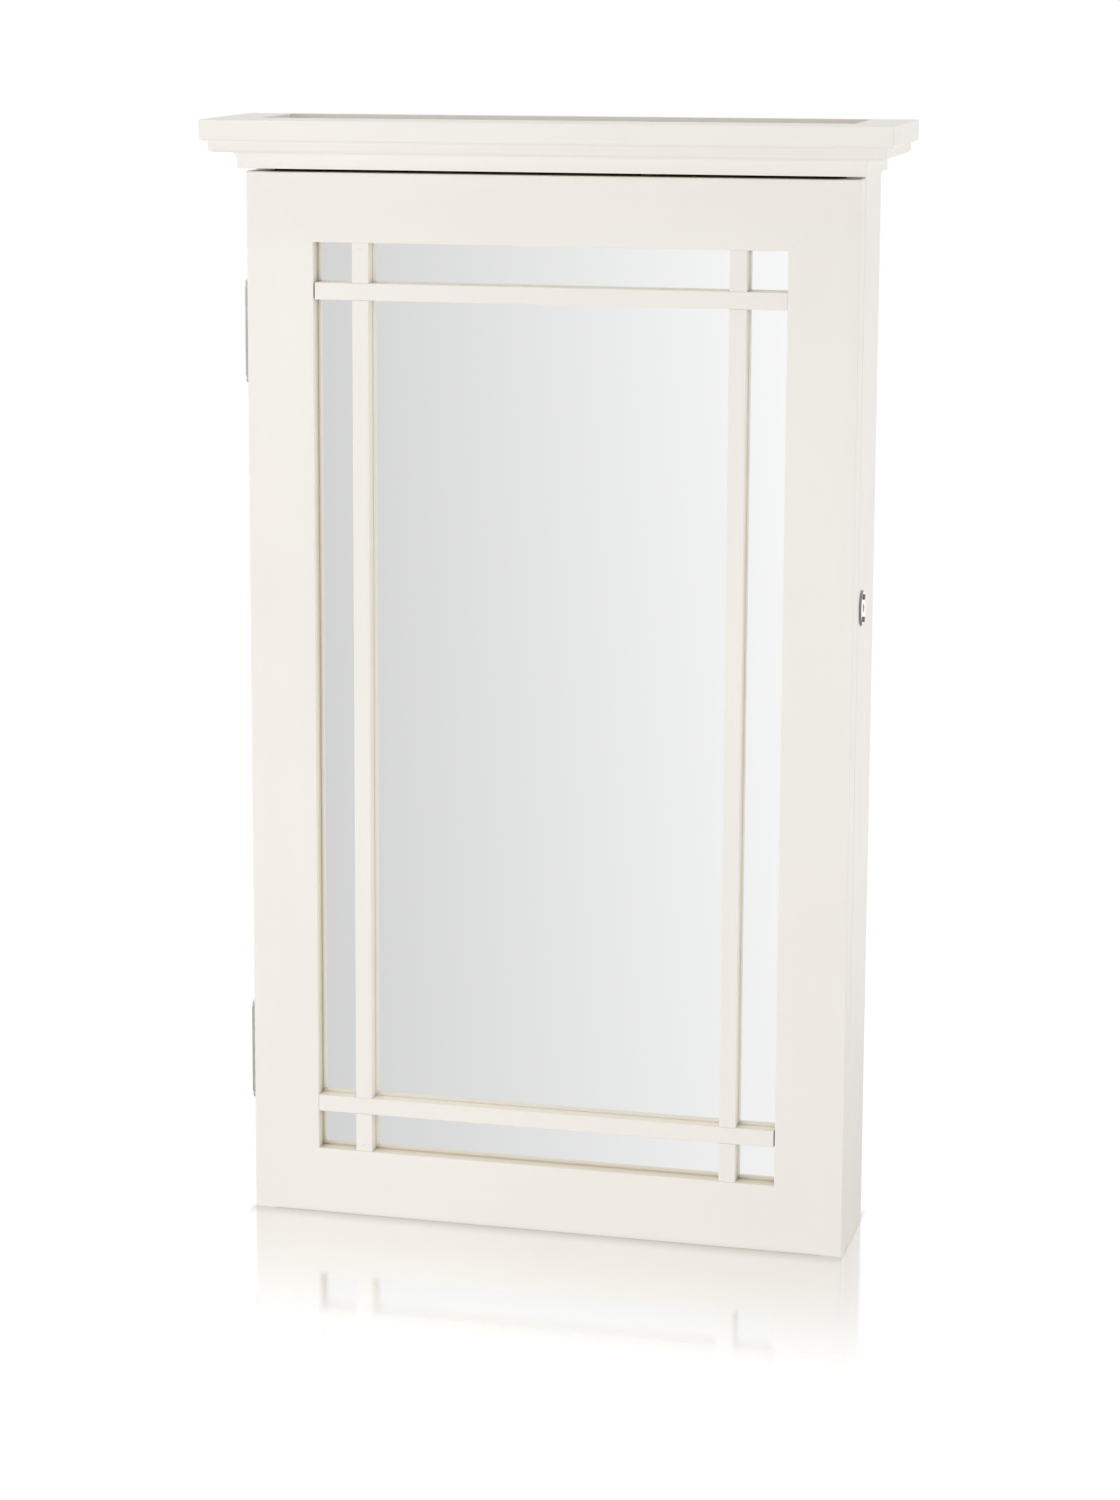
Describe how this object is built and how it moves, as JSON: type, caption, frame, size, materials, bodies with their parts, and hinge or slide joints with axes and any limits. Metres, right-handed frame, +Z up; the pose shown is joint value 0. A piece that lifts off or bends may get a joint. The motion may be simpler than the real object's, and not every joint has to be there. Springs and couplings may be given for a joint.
{
  "type": "wall-mounted jewelry armoire",
  "caption": "Shallow wall cabinet with a crown, a hinged door that holds a mirror behind a grille of bars, and hooks, rails, shelves and ring rolls inside.",
  "frame": {"origin": "centre of the four wall-screw holes, on the back face that lies against the wall", "axes": "+X to the right seen from the front, +Y back into the wall, +Z up"},
  "size_m": [0.422, 0.102, 0.692],
  "materials": {
    "ivory_paint": "satin ivory paint",
    "back_board": "painted fibreboard",
    "dark_stain": "dark stain",
    "black_velvet": "short-pile velvet",
    "nickel": "satin nickel plate",
    "dark_steel": "oiled steel",
    "magnet_iron": "matt",
    "white_plastic": "moulded",
    "clear_rubber": "soft buffer",
    "silvered_glass": "polished mirror",
    "hardboard": "smooth hardboard"
  },
  "bodies": {
    "case": {"side_panel_left": "ivory_paint", "side_panel_right": "ivory_paint", "top_panel": "ivory_paint", "bottom_panel": "ivory_paint", "back_panel": "back_board", "wall_rail_upper": "dark_stain", "wall_rail_lower": "dark_stain", "crown_front_moulding": "ivory_paint", "crown_left_moulding": "ivory_paint", "crown_right_moulding": "ivory_paint", "lining_back": "black_velvet", "lining_left": "black_velvet", "lining_right": "black_velvet", "upright_partition": "ivory_paint", "long_shelf": "ivory_paint", "long_shelf_lip": "ivory_paint", "bottom_lip": "ivory_paint", "bottom_divider_left": "ivory_paint", "bottom_divider_right": "ivory_paint", "small_shelf_lower": "ivory_paint", "small_shelf_middle": "ivory_paint", "small_shelf_upper": "ivory_paint", "small_shelf_lips": "ivory_paint", "ring_rolls_middle": "black_velvet", "ring_rolls_upper": "black_velvet", "bracelet_bar": "nickel", "bracelet_sockets": "nickel", "necklace_hooks": "nickel", "hinge_case_leaves": "nickel", "hinge_pins": "nickel", "hinge_case_screws": "nickel", "catch_body": "white_plastic", "catch_magnet": "magnet_iron", "buffers": "clear_rubber", "lock_body": "nickel", "lock_screws": "nickel", "keyhole_plate": "nickel", "keyhole_plate_screws": "nickel"},
    "door": {"hinge_stile": "ivory_paint", "lock_stile": "ivory_paint", "top_rail": "ivory_paint", "bottom_rail": "ivory_paint", "grille_bar_left": "ivory_paint", "grille_bar_right": "ivory_paint", "grille_bar_upper": "ivory_paint", "grille_bar_lower": "ivory_paint", "mirror": "silvered_glass", "mirror_backing": "hardboard", "mirror_beads": "ivory_paint", "door_lining": "black_velvet", "hinge_door_leaves": "nickel", "hinge_door_screws": "nickel", "catch_strike": "nickel", "lock_keeper": "nickel", "keeper_screws": "nickel", "earring_rails": "ivory_paint", "earring_posts": "ivory_paint"},
    "lock": {"lock_hub": "dark_steel", "lock_cam": "nickel", "cam_screw": "nickel"}
  },
  "joints": [
    {"name": "door_hinge", "type": "hinge", "parent": "case", "child": "door", "pos_m": [-0.1936, -0.0595, 0], "axis": [0, 0, -1], "range_deg": [0, 165]},
    {"name": "lock_turn", "type": "hinge", "parent": "case", "child": "lock", "pos_m": [0.16, -0.0475, 0.071], "axis": [1, 0, 0], "range_deg": [0, 90]}
  ]
}
